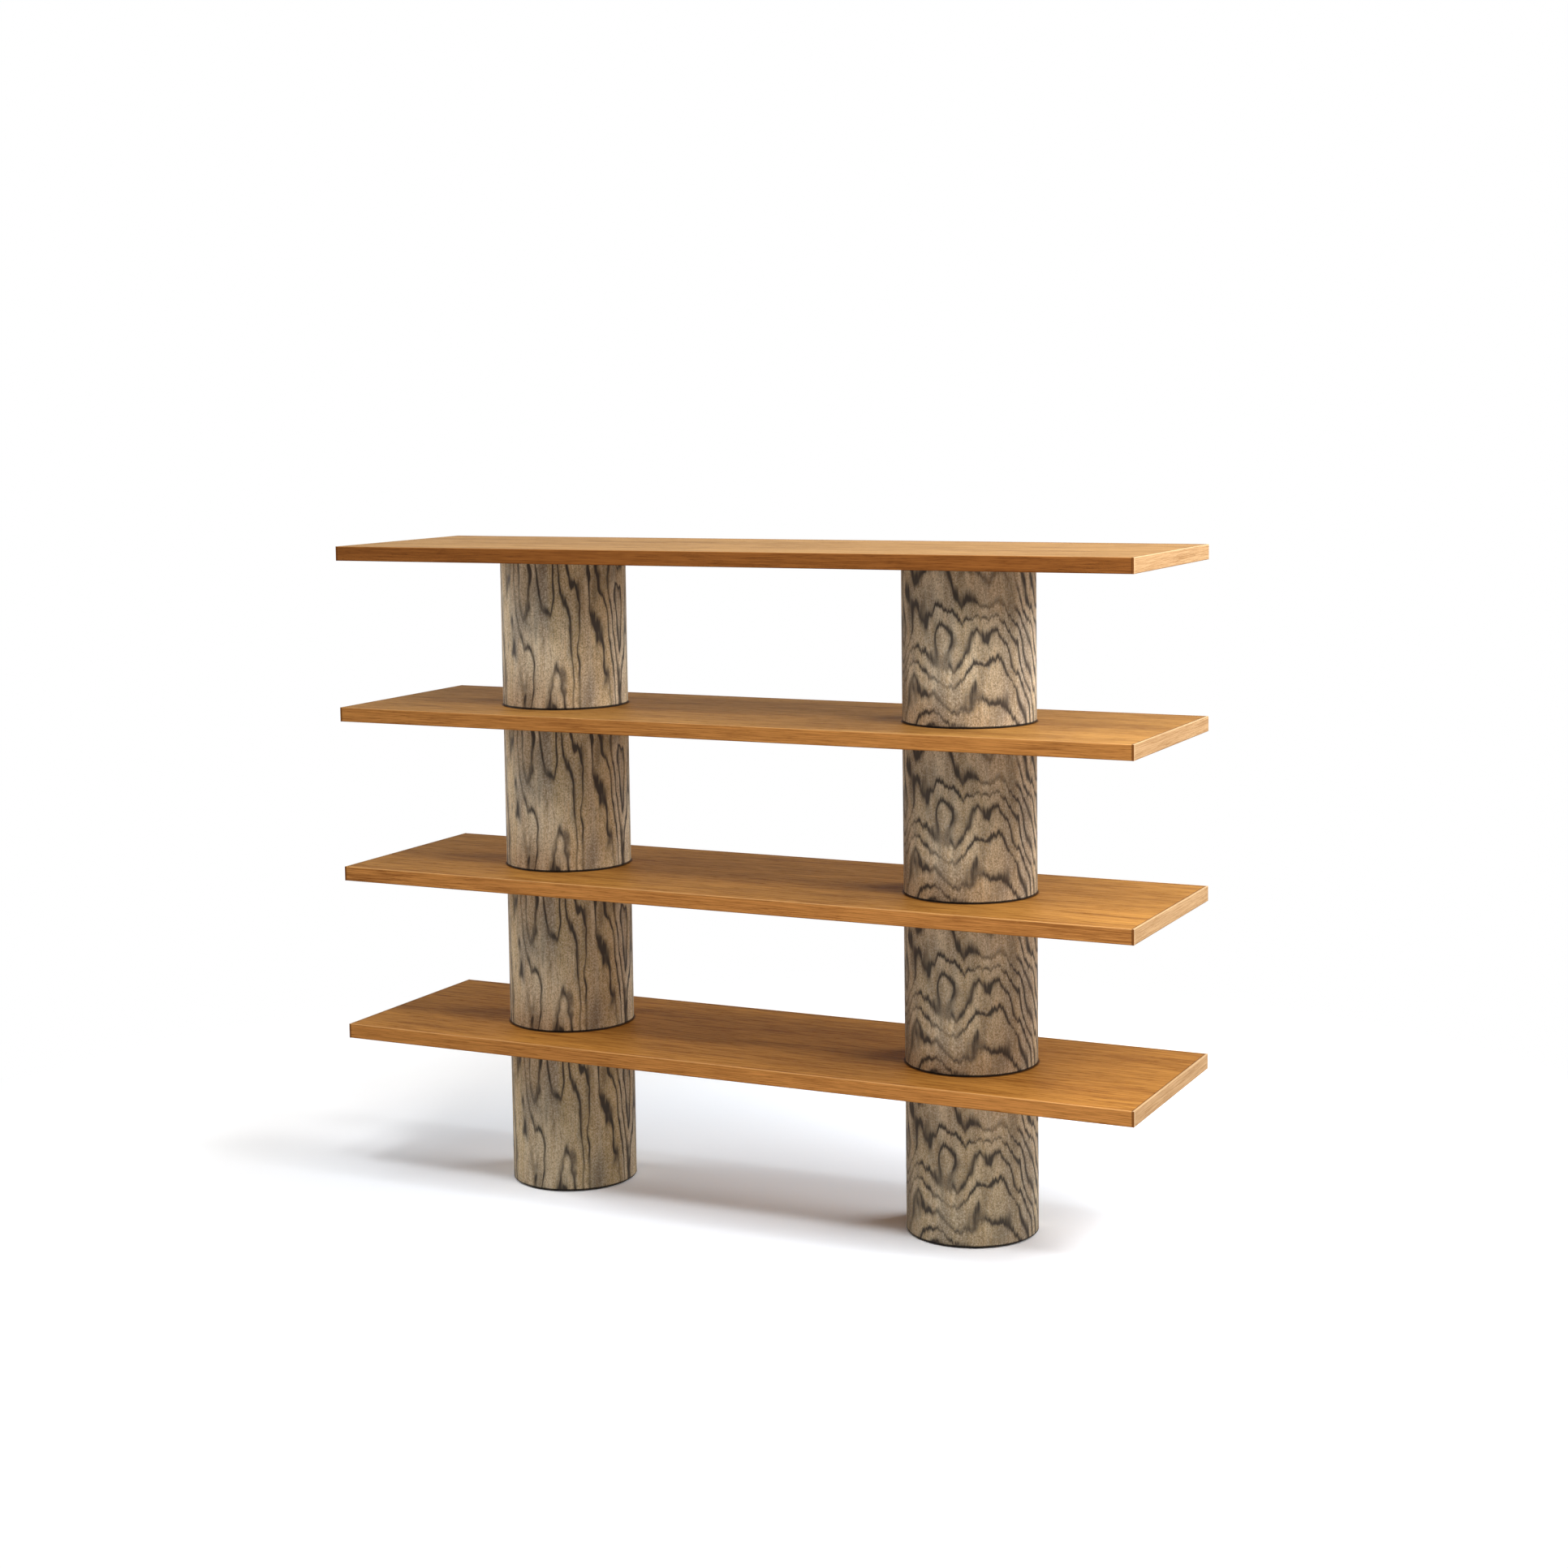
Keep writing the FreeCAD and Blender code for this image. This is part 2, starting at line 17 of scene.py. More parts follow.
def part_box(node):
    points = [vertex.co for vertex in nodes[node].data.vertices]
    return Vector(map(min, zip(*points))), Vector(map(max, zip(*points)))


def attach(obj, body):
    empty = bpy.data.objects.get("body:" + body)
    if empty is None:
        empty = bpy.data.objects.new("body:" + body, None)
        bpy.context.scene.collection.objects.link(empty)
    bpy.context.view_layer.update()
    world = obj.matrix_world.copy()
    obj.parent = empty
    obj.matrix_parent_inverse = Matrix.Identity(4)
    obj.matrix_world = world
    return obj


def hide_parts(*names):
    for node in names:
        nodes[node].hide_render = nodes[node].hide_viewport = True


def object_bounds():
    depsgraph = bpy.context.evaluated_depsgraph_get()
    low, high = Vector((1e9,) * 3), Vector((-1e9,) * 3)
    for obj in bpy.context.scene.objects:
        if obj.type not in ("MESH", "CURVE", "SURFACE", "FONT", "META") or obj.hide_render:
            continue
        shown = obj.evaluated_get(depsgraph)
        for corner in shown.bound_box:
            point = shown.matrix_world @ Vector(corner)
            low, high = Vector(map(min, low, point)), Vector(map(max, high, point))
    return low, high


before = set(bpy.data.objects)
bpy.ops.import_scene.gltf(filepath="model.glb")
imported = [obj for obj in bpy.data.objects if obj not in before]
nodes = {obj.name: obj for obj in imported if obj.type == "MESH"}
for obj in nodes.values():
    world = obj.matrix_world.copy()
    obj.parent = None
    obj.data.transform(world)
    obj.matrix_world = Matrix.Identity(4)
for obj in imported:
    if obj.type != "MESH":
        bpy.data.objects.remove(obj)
model_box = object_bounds()
print(f"{len(nodes)} pieces in the construction model")

# %% [markdown]
# ## Measures
# Sizes are read from the pieces rather than typed in again. If the construction model changes,
# every new piece in this script follows it, and so does every line drawn at a joint or a foot. All
# lengths are metres, and the small ones are written as so many times MM.

# %% Measure the pieces
SIDES = ("left", "right")
LEVELS = (1, 2, 3, 4)
MM = 0.001


def middle_and_size(name):
    """Centre and outer size of one piece of the construction model."""
    low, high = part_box(name)
    return (low + high) / 2, high - low


end_band_centre, end_band_size = middle_and_size("shelf_1_right_band")
wrap_centre, wrap_size = middle_and_size("right_wrap_1")

BAND = end_band_size.x
SHELF_THICKNESS = end_band_size.z
SHELF_UNDERSIDE = end_band_centre.z - SHELF_THICKNESS / 2
HALF_LENGTH = end_band_centre.x + BAND / 2
HALF_DEPTH = end_band_size.y / 2
COLUMN_OFFSET = wrap_centre.x
COLUMN_RADIUS = wrap_size.x / 2
FOOT = wrap_centre.z - wrap_size.z / 2
SHEET = round(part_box("right_wrap_1")[1].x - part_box("right_drum_1")[1].x, 5)
PITCH = middle_and_size("right_wrap_2")[0].z - wrap_centre.z
TOTAL_HEIGHT = model_box[1].z

print(f"shelves {2 * HALF_LENGTH:.3f} x {2 * HALF_DEPTH:.3f} x {SHELF_THICKNESS:.4f}")
print(f"columns {2 * COLUMN_RADIUS:.3f} across, one shelf every {PITCH:.4f}")
print(f"column veneer {SHEET / MM:.1f} mm thick")

# %% [markdown]
# ## Camera
# The view is from a little above the top shelf, to the right of the middle. A long lens keeps the
# columns nearly parallel. The camera could be aimed with a Track To constraint, but a constraint
# cannot hold the small roll, so the three turns are multiplied together instead: first the roll
# about the lens, then the tilt, then the heading. The vertical shift works like the rise of a
# studio camera: it reframes the picture without tilting the lens any further.

# %% Place the camera
CAMERA_PLACE = (2.039, -4.0675, 1.4232)
HEADING = 26.066
LOOK_DOWN = 5.304
ROLL = -0.745
FOCAL_LENGTH = 59.06
RISE = -0.0859

camera_data = bpy.data.cameras.new("camera")
camera_data.lens = FOCAL_LENGTH
camera_data.shift_y = RISE
camera = bpy.data.objects.new("camera", camera_data)
bpy.context.scene.collection.objects.link(camera)
bpy.context.scene.camera = camera

turns = ((HEADING, "Z"), (90 - LOOK_DOWN, "X"), (ROLL, "Z"))
aim = Matrix.Identity(4)
for degrees, axis in turns:
    aim = aim @ Matrix.Rotation(math.radians(degrees), 4, axis)
camera.matrix_world = Matrix.Translation(CAMERA_PLACE) @ aim
print("camera looks along", [round(n, 3) for n in aim @ Vector((0, 0, -1))])

# %% [markdown]
# ## A kit for building finishes
# A finish is a chain of shader nodes. The chain could be wired by hand in the shader editor; in a
# script the same few steps come back again and again, so they are gathered in one small class. Its
# methods add a node, wire its inputs and hand back its output, ready for the next step.
#
# Two of them do most of the work. Noise is a cloudy pattern of values that mostly stay between 0.3
# and 0.7, drawn out by stretch until it looks like fibres or streaks. Fade then cuts a soft-edged
# pattern out of it, and so its start and end mostly lie in that same range.

# %% The finish kit
def paint(red, green, blue):
    """A colour as it looks on screen, 0 to 255, as the linear colour that shaders use."""
    linear = [
        ((c / 255 + 0.055) / 1.055) ** 2.4 if c > 10 else c / 255 / 12.92
        for c in (red, green, blue)
    ]
    return (*linear, 1)


class Finish:
    """One material, built up from shader nodes a step at a time."""

    def __init__(self, name):
        self.material = bpy.data.materials.new(name)
        self.material.use_nodes = True
        self.tree = self.material.node_tree
        self.shader = self.tree.nodes["Principled BSDF"]
        self.place = self.node("TexCoord", {}, "Object")

    def feed(self, socket, value):
        """Links a value that varies, or sets one that is the same all over."""
        if isinstance(value, bpy.types.NodeSocket):
            self.tree.links.new(value, socket)
        else:
            socket.default_value = value

    def node(self, kind, inputs, output=0, **settings):
        made = self.tree.nodes.new(f"ShaderNode{kind}")
        for name, value in settings.items():
            setattr(made, name, value)
        for socket, value in inputs.items():
            self.feed(made.inputs[socket], value)
        return made.outputs[output]

    def math(self, operation, *values):
        return self.node("Math", dict(enumerate(values)), operation=operation)

    def parts(self, vector):
        """The x, y and z of a place, each as its own value."""
        split = self.node("SeparateXYZ", {0: vector}).node
        return split.outputs[0], split.outputs[1], split.outputs[2]

    def vector(self, x, y, z):
        return self.node("CombineXYZ", {0: x, 1: y, 2: z})

    def length(self, vector):
        return self.node("VectorMath", {0: vector}, "Value", operation="LENGTH")

    def stretch(self, vector, x, y, z):
        """Places multiplied by x, y, z, which is how many noise bumps fit in a metre each way."""
        return self.node("VectorMath", {0: vector, 1: (x, y, z)}, operation="MULTIPLY")

    def noise(self, vector, detail=2.0, rough=0.5):
        inputs = {"Vector": vector, "Scale": 1.0, "Detail": detail, "Roughness": rough}
        return self.node("TexNoise", inputs)

    def fade(self, value, start, end, low=0.0, high=1.0):
        """Goes smoothly from low to high while the value goes from start to end."""
        inputs = {0: value, 1: start, 2: end, 3: low, 4: high}
        return self.node("MapRange", inputs, interpolation_type="SMOOTHSTEP")

    def mix(self, amount, first, second, how="MIX"):
        inputs = {0: amount, 6: first, 7: second}
        return self.node("Mix", inputs, 2, data_type="RGBA", blend_type=how)

    def surface(self, colour, roughness, height, depth):
        """Feeds the shader; height from 0 to 1 becomes a relief of that depth."""
        bump = self.node("Bump", {"Height": height, "Distance": depth, "Strength": 1.0})
        self.feed(self.shader.inputs["Base Color"], colour)
        self.feed(self.shader.inputs["Roughness"], roughness)
        self.feed(self.shader.inputs["Normal"], bump)


def apply_finish(material, *names):
    """Gives a finish to pieces of the construction model."""
    for name in names:
        slots = nodes[name].data.materials
        slots.clear()
        slots.append(material)


# %% [markdown]
# ## Floor and backdrop
# The bookcase stands on a white floor in a white room. A real backdrop would be a curved paper
# roll. Here the floor is one big disc that takes the soft shadow near the bookcase and turns to
# pure white further out, so no horizon line shows. The turn depends on the distance from the
# middle of the floor.
#
# The floor has two colours. Rays that light the bookcase meet ordinary pale paper. Rays that come
# from the camera, straight or in a reflection, meet a whiter one, so that the lit floor shows as
# white and only the shadow stays. More light on the floor would do that too, but it would also
# bleach the oak. Under the bookcase the second colour is a little cooler, because the oak throws
# warm light down on the paper there.

# %% Make the floor
FLOOR_RADIUS = 40.0
COOL_ENDS = (0.6, 1.2)
SHADOW_ENDS = (1.25, 1.9)
PAPER = (0.78, 0.77, 0.76, 1)
PAPER_SEEN = (1.105, 1.11, 1.115, 1)
PAPER_BELOW = (1.10, 1.16, 1.23, 1)
WHITE = (1, 1, 1, 1)

bpy.ops.object.select_all(action="DESELECT")
bpy.ops.mesh.primitive_circle_add(vertices=96, radius=FLOOR_RADIUS, fill_type="NGON")
floor = bpy.context.object
floor.name = "floor"

paper = Finish("white_paper")
rays = paper.node("LightPath", {}).node.outputs
seen = paper.math("MAXIMUM", rays["Is Camera Ray"], rays["Is Glossy Ray"])
seen = paper.math("MAXIMUM", seen, rays["Is Transmission Ray"])
distance = paper.length(paper.place)
far = paper.math("MULTIPLY", paper.fade(distance, *SHADOW_ENDS), seen)
lit = paper.mix(paper.fade(distance, *COOL_ENDS), PAPER_BELOW, PAPER_SEEN)
matte = paper.node("BsdfDiffuse", {"Color": paper.mix(seen, PAPER, lit)})
white = paper.node("Emission", {"Color": WHITE, "Strength": 1.0})
mixed = paper.node("MixShader", {0: far, 1: matte, 2: white})
paper.feed(paper.tree.nodes["Material Output"].inputs["Surface"], mixed)
paper.tree.nodes.remove(paper.shader)
floor.data.materials.append(paper.material)
print("the shadow fades out between", SHADOW_ENDS, "metres from the middle")

# %% [markdown]
# ## Light
# Soft studio light. The key softbox stands high at the back on the right, so that the shelf ends
# glow and the shadow falls to the left. Three weaker ones keep it company on that side: one level
# with it further to the front, one above it and one below it. Together they work as one tall,
# curved source, which softens the edge of the shadow.
#
# A broad softbox overhead lights the tops evenly. Two small ones steeply above the front reach
# only the front part of each lower shelf, and a weak, lower one helps the front edges. A small one
# near on the right rounds the columns, and one low on the left keeps the dark side open.

# %% Place the lamps
AIM = Vector((0, 0, TOTAL_HEIGHT / 2))
BROAD = 3.0
LARGE = 1.2
SMALL = 0.6


def softbox(name, place, size, watts):
    """A square lamp, turned towards the middle of the bookcase."""
    lamp = bpy.data.lights.new(name, "AREA")
    lamp.shape = "SQUARE"
    lamp.size = size
    lamp.energy = watts
    box = bpy.data.objects.new(name, lamp)
    bpy.context.scene.collection.objects.link(box)
    box.location = place
    box.rotation_euler = (AIM - Vector(place)).to_track_quat("-Z", "Y").to_euler()
    return box


lamps = [
    softbox("key_softbox", (2.4, 2.0, 2.4), LARGE, 71),
    softbox("side_softbox", (2.95, -1.05, 2.4), LARGE, 34),
    softbox("high_softbox", (2.3, 0.0, 3.35), LARGE, 38),
    softbox("low_softbox", (3.05, 1.75, 1.25), LARGE, 17),
    softbox("overhead_softbox", (0.2, -0.2, 4.2), BROAD, 48),
    softbox("front_softbox", (0.0, -2.0, 4.2), SMALL, 30),
    softbox("front_right_softbox", (1.0, -2.0, 4.0), SMALL, 22),
    softbox("low_front_softbox", (0.0, -2.3, 3.35), LARGE, 14),
    softbox("near_softbox", (1.7, -0.5, 1.7), SMALL, 10),
    softbox("left_softbox", (-3.55, 0.0, 1.25), LARGE, 48),
]
print(len(lamps), "softboxes,", sum(lamp.data.energy for lamp in lamps), "watts in all")

# %% [markdown]
# The white room adds the rest of the light. It is the world background: plain white where the
# camera or a reflection sees it, and much dimmer where it only adds light. The colours are shown
# as they are, without a film look.

# %% Make the white room
ROOM_LIGHT = 0.05

world = bpy.data.worlds.new("white_room")
world.use_nodes = True
bpy.context.scene.world = world
room = world.node_tree
room_rays = room.nodes.new("ShaderNodeLightPath").outputs
room_seen = room_rays["Is Camera Ray"]
for kind in ("Is Glossy Ray", "Is Transmission Ray"):
    either = room.nodes.new("ShaderNodeMath")
    either.operation = "MAXIMUM"
    room.links.new(room_seen, either.inputs[0])
    room.links.new(room_rays[kind], either.inputs[1])
    room_seen = either.outputs[0]
brightness = room.nodes.new("ShaderNodeMapRange")
brightness.inputs["To Min"].default_value = ROOM_LIGHT
room.links.new(room_seen, brightness.inputs["Value"])
background = room.nodes["Background"].inputs
background["Color"].default_value = WHITE
room.links.new(brightness.outputs[0], background["Strength"])

bpy.context.scene.view_settings.view_transform = "Standard"
print("the room lights the bookcase at", ROOM_LIGHT)

# %% [markdown]
# ## Oak grain
# The shelves are board faced with oak veneer, and edged with solid oak. Oak grain has several
# scales: broad drifts of tone, streaks as wide as a finger, growth lines that open into long
# arches, and fine dark pores that lie along the grain.
#
# The growth lines are cut as a tree is: rings round an axis that runs slightly out of line with
# the board. Where the board leaves the axis slowly, the rings come out as long arches. A wave
# texture would be quicker, but its lines stay parallel.
#
# A face is joined from leaves of veneer laid side by side, so the recipe finds the leaf that a
# point lies in and starts the pattern afresh there.

# %% Leaves and growth lines
LEAF_SHIFT = 3.7
ARCH_DEPTH = 0.06
SHALLOWEST_CUT = 0.01


def along_the_grain(wood, turned):
    """The place along the grain, across it and up. The grain of a turned piece runs along y."""
    x, y, z = wood.parts(wood.place)
    return (y, x, z) if turned else (x, y, z)


def place_in_leaf(wood, along, across, up, leaf_width):
    """How far a point is off the middle of its leaf, and its place with each leaf shifted."""
    leaf = wood.math("FLOOR", wood.math("DIVIDE", across, leaf_width))
    inside = wood.math("SUBTRACT", across, wood.math("MULTIPLY", leaf, leaf_width))
    off_middle = wood.math("SUBTRACT", inside, leaf_width / 2)
    moved = wood.vector(wood.math("MULTIPLY_ADD", leaf, LEAF_SHIFT, along), across, up)
    return off_middle, moved


def growth_lines(wood, off_middle, moved, rings):
    """Lines where the leaf cuts the rings of the tree; rings is how many there are to a metre."""
    sway = wood.noise(wood.stretch(moved, 2.2, 5.0, 9.0), detail=2.0)
    cut = wood.math("MULTIPLY_ADD", sway, ARCH_DEPTH, SHALLOWEST_CUT)
    squares = wood.math("ADD", wood.math("MULTIPLY", cut, cut),
                        wood.math("MULTIPLY", off_middle, off_middle))
    waver = wood.noise(wood.stretch(moved, 9.0, 90.0, 60.0), detail=3.0)
    radius = wood.math("MULTIPLY_ADD", waver, 1.2 / rings, wood.math("SQRT", squares))
    phase = wood.math("FRACT", wood.math("MULTIPLY", radius, rings))
    return wood.fade(phase, 0.5, 0.95)


# %% [markdown]
# Drift, streaks, growth lines, fibres and pores are added up, each with its own share in how dark
# the wood is. A higher fineness packs the streaks, fibres and pores closer together.

# %% The whole grain
def oak_grain(wood, turned, leaf_width, fineness, rings):
    """How dark the grain is, from 0 to 1, and how open its pores are."""
    along, across, up = along_the_grain(wood, turned)
    off_middle, moved = place_in_leaf(wood, along, across, up, leaf_width)

    drift = wood.noise(wood.stretch(moved, 1.3, 14.0, 3.0), detail=3.0)
    wave = wood.noise(wood.stretch(moved, 3.5, 9.0, 20.0), detail=2.0)
    waved = wood.vector(along, wood.math("MULTIPLY_ADD", wave, 0.05, across), up)
    streak = wood.noise(wood.stretch(waved, 2.4, 120.0 * fineness, 200.0), detail=4.0, rough=0.65)
    line = wood.math("MULTIPLY", growth_lines(wood, off_middle, moved, rings),
                     wood.fade(streak, 0.35, 0.6))

    fine = wood.noise(wood.stretch(moved, 14.0, 900.0 * fineness, 700.0), detail=4.0, rough=0.65)
    dots = wood.noise(wood.stretch(moved, 60.0, 2600.0 * fineness, 1400.0), detail=1.0)
    pore = wood.math("MULTIPLY", wood.fade(dots, 0.5, 0.68), wood.fade(fine, 0.4, 0.6))

    shares = (
        (wood.fade(drift, 0.3, 0.7), 0.22),
        (wood.fade(streak, 0.36, 0.64), 0.18),
        (line, 0.22),
        (wood.fade(fine, 0.36, 0.64), 0.46),
        (pore, 0.30),
    )
    tone = 0.0
    for pattern, share in shares:
        tone = wood.math("MULTIPLY_ADD", pattern, share, tone)
    return tone, pore


# %% [markdown]
# ## Shelf faces
# The lacquer is thin and satin, so it gets little specular: seen along its length, a glossier
# shelf would mirror the white room and turn pale. The pores stay a little duller than the wood
# round them and a little deeper.
#
# Fine dark lines mark where the face meets the end bands and the back band. Round the foot of
# each column a dark ring is painted shadow, where the column stands on the face. Lines and rings
# are drawn by their distance from the joint or the foot, because a real gap would be far finer
# than the mesh.

# %% The face recipe
SATIN = 0.035
PORE_DEPTH = 0.12 * MM
JOINT_STRENGTH = 0.7


def lacquer(wood, colour, pore):
    roughness = wood.fade(pore, 0.0, 1.0, 0.56, 0.7)
    wood.surface(colour, roughness, wood.math("SUBTRACT", 1.0, pore), PORE_DEPTH)
    wood.shader.inputs["Specular IOR Level"].default_value = SATIN
    return wood.material


def painted_foot_shadow(wood, x, y, strength):
    """Painted shadow: a dark ring on the shelf round the foot of each column."""
    sideways = wood.math("SUBTRACT", wood.math("ABSOLUTE", x), COLUMN_OFFSET)
    from_axis = wood.length(wood.vector(sideways, y, 0.0))
    off_foot = wood.math("ABSOLUTE", wood.math("SUBTRACT", from_axis, COLUMN_RADIUS))
    return wood.fade(off_foot, 0.5 * MM, 4.5 * MM, strength, 0.0)


def joint_lines(wood, x, y):
    """Dark lines along the joints with the end bands and with the back band."""
    to_end = wood.math("SUBTRACT", HALF_LENGTH - BAND, wood.math("ABSOLUTE", x))
    to_back = wood.math("SUBTRACT", HALF_DEPTH - BAND, y)
    end_line = wood.fade(to_end, 1.0 * MM, 3.0 * MM, JOINT_STRENGTH, 0.0)
    back_line = wood.fade(to_back, 0.0, 12.0 * MM, JOINT_STRENGTH, 0.0)
    return wood.math("MAXIMUM", end_line, back_line)


def oak_face(name, light, dark, foot_shadow_strength):
    """Veneered face, with the grain along the shelf and two leaves in its depth."""
    wood = Finish(name)
    tone, pore = oak_grain(wood, False, leaf_width=HALF_DEPTH, fineness=0.25, rings=60.0)
    x, y = wood.parts(wood.place)[:2]
    colour = wood.mix(tone, light, dark)
    # painted shadow in dark brown round the foot of each column
    colour = wood.mix(painted_foot_shadow(wood, x, y, foot_shadow_strength), colour, paint(58, 30, 12))
    colour = wood.mix(joint_lines(wood, x, y), colour, paint(84, 48, 20))
    return lacquer(wood, colour, pore)


# %% [markdown]
# ## Edge bands
# The bands are solid oak. Their top edge is painted pale, a painted highlight where the eased
# arris catches the light, and their lower edge is painted darker, painted shade below the arris.
# The end bands cover the ends of the front and back bands: a glue line shows on the long bands
# beside them. The end bands get a painted highlight near the front corner, and turn dark on the
# corner itself.

# %% The band recipe
def height_in_board(wood):
    """How far a point lies above the underside of its own shelf."""
    z = wood.parts(wood.place)[2]
    return wood.math("FLOORED_MODULO", wood.math("SUBTRACT", z, SHELF_UNDERSIDE), PITCH)


# Painted highlight along the top arris and painted shade along the lower one.
def edge_highlight_and_shade(wood, colour, highlight_tone):
    height = height_in_board(wood)
    top_start = SHELF_THICKNESS - 1.6 * MM
    top_highlight = wood.fade(height, top_start, top_start + 0.8 * MM, 0.0, 0.45)
    low_shade = wood.fade(height, 0.6 * MM, 2.2 * MM, 0.45, 0.0)
    colour = wood.mix(top_highlight, colour, highlight_tone)
    return wood.mix(low_shade, colour, paint(84, 48, 22))


def oak_band(name, light, dark, highlight_tone, turned=False):
    """Solid edge band. The grain of a turned one runs from front to back."""
    wood = Finish(name)
    tone, pore = oak_grain(wood, turned, leaf_width=1.0, fineness=1.0, rings=230.0)
    colour = edge_highlight_and_shade(wood, wood.mix(tone, light, dark), highlight_tone)
    x, y = wood.parts(wood.place)[:2]
    if turned:
        from_front = wood.math("ADD", y, HALF_DEPTH)
        # painted highlight near the front corner; the dark corner itself is the joint with the
        # long band
        corner_highlight = wood.fade(from_front, 4.0 * MM, 6.0 * MM, 0.35, 0.0)
        on_corner = wood.fade(from_front, 0.3 * MM, 0.9 * MM, 1.0, 0.0)
        colour = wood.mix(corner_highlight, colour, highlight_tone)
        colour = wood.mix(on_corner, colour, paint(128, 78, 36))
    else:
        to_end = wood.math("SUBTRACT", HALF_LENGTH - BAND, wood.math("ABSOLUTE", x))
        glue = wood.fade(to_end, 1.0 * MM, 2.0 * MM, 0.5, 0.0)
        colour = wood.mix(glue, colour, paint(70, 38, 18))
    return lacquer(wood, colour, pore)


# %% [markdown]
# ## Oak tones
# Each shelf is faced from a bundle of leaves of its own and edged from a plank of its own, so the
# tones differ a little from shelf to shelf. The top shelf has the darkest bands. Its face is the
# greyest, partly painted sheen: a paler, less saturated tone that stands in for the lacquer's
# reflection of the room. Nothing stands on it, so it has no painted foot shadows. A face has a
# light and a dark tone, and a band has a third one for its painted edge highlight.

# %% Finish the shelves
FACE_TONES = {
    1: (paint(192, 135, 63), paint(130, 81, 31)),
    2: (paint(193, 139, 68), paint(131, 84, 34)),
    3: (paint(192, 142, 75), paint(130, 86, 39)),
    # the top face's greyer tone is partly painted sheen
    4: (paint(184, 142, 89), paint(124, 90, 52)),
}
# A band's third tone is its painted highlight: on the top arris, and near the front corner of the
# end bands.
BAND_TONES = {
    1: (paint(217, 149, 79), paint(144, 89, 41), paint(228, 177, 114)),
    2: (paint(226, 156, 84), paint(152, 94, 44), paint(234, 184, 120)),
    3: (paint(213, 146, 77), paint(142, 87, 40), paint(226, 175, 112)),
    4: (paint(168, 105, 50), paint(112, 63, 26), paint(198, 142, 84)),
}
END_TONES = (paint(193, 157, 115), paint(147, 109, 68), paint(220, 188, 145))

end_finish = oak_band("oak_end_band", *END_TONES, turned=True)
for level in LEVELS:
    # the top shelf gets no painted foot shadow, since nothing stands on it
    foot_shadow_strength = 0.0 if level == LEVELS[-1] else 0.85
    face_finish = oak_face(f"oak_face_{level}", *FACE_TONES[level], foot_shadow_strength)
    long_finish = oak_band(f"oak_band_{level}", *BAND_TONES[level])
    apply_finish(face_finish, f"shelf_{level}_bottom_veneer", f"shelf_{level}_top_veneer")
    apply_finish(long_finish, f"shelf_{level}_front_band", f"shelf_{level}_back_band")
    apply_finish(end_finish, f"shelf_{level}_left_band", f"shelf_{level}_right_band")
    print(f"shelf {level} finished in", face_finish.name, "and", long_finish.name)

# %% [markdown]
# ## Figured veneer: the sheet
# Each drum is wrapped in one sheet of pale grey-brown veneer, crossed by soft dark lines. The
# pattern is laid out on the sheet before it is wrapped: one way along the turn of the column, the
# other way up the drum. Every drum of a column is cut from the same stack of leaves, so the figure
# starts again at every shelf. Each drum is also painted a little darker than the one above it:
# painted light, brightest on the top drum, for the light that falls more on the top of the column.

# %% Lay out the sheet
# Painted light: the top drum is painted brighter, the lower ones darker.
TOP_DRUM_LIGHT = (1.11, 1.13, 1.18, 1)
BOTTOM_DRUM_SHADE = (0.94, 0.94, 0.94, 1)


def sheet_place(wood, column_x, shift):
    """Where a point lies on the flat sheet: the turn, the way round and the rise, in metres."""
    x, y, z = wood.parts(wood.place)
    sideways = wood.math("SUBTRACT", x, column_x)
    towards_front = wood.math("MULTIPLY", y, -1.0)
    turn = wood.math("ARCTAN2", sideways, towards_front)
    round_way = wood.math("MULTIPLY_ADD", turn, COLUMN_RADIUS, shift)
    rise = wood.math("FLOORED_MODULO", wood.math("SUBTRACT", z, FOOT), PITCH)
    return turn, round_way, rise


def painted_drum_light(wood):
    """Painted light that colours are multiplied by: brightest on the top drum, darker on each one
    below.
    """
    z = wood.parts(wood.place)[2]
    drum = wood.math("FLOOR", wood.math("DIVIDE", wood.math("SUBTRACT", z, FOOT), PITCH))
    lowness = wood.math("SUBTRACT", 1.0, wood.math("DIVIDE", drum, len(LEVELS) - 1.0))
    return wood.mix(lowness, TOP_DRUM_LIGHT, BOTTOM_DRUM_SHADE)


# %% [markdown]
# ## Figured veneer: the surfaces
# Lines like these are contour lines: they follow the places where a smooth, hilly surface has the
# same height. So the recipe makes a surface, cuts it at even heights, and draws a soft dark line
# along every cut. On the right column the surface is a ridge that leans back, which gives arches
# inside arches. On the left it is a slope across the sheet, which gives long upright streaks.
# Hills made with stretched noise bend both out of their even course.

# %% A ridge and a slope
def arches(wood, turn, round_way, rise):
    """A leaning ridge: arches in the middle, close upright lines on both sides."""
    ridge = wood.math("COSINE", turn)
    surface = wood.math("MULTIPLY_ADD", rise, 19.0, wood.math("MULTIPLY", ridge, -4.5))
    hill = wood.noise(wood.stretch(wood.vector(round_way, rise, 9.4), 12.0, 7.5, 1.0), detail=1.0)
    return wood.math("MULTIPLY_ADD", hill, 6.0, surface)


def streaks(wood, turn, round_way, rise):
    """A slope across the sheet: long upright lines, pulled into tongues by the hills."""
    slope = wood.math("MULTIPLY", turn, 16.0 / (2 * math.pi))
    hill = wood.noise(wood.stretch(wood.vector(round_way, rise, 3.3), 15.0, 3.2, 1.0), detail=1.0)
    return wood.math("MULTIPLY_ADD", hill, 8.0, slope)


# %% [markdown]
# ## Figured veneer: the dark lines
# The lines swell and thin along their way, the colour bleeds into the specks and fibres beside
# them, and smoke hangs on one side of each. Here and there a whole line is weaker.

# %% Draw the lines
BLEED = 0.35


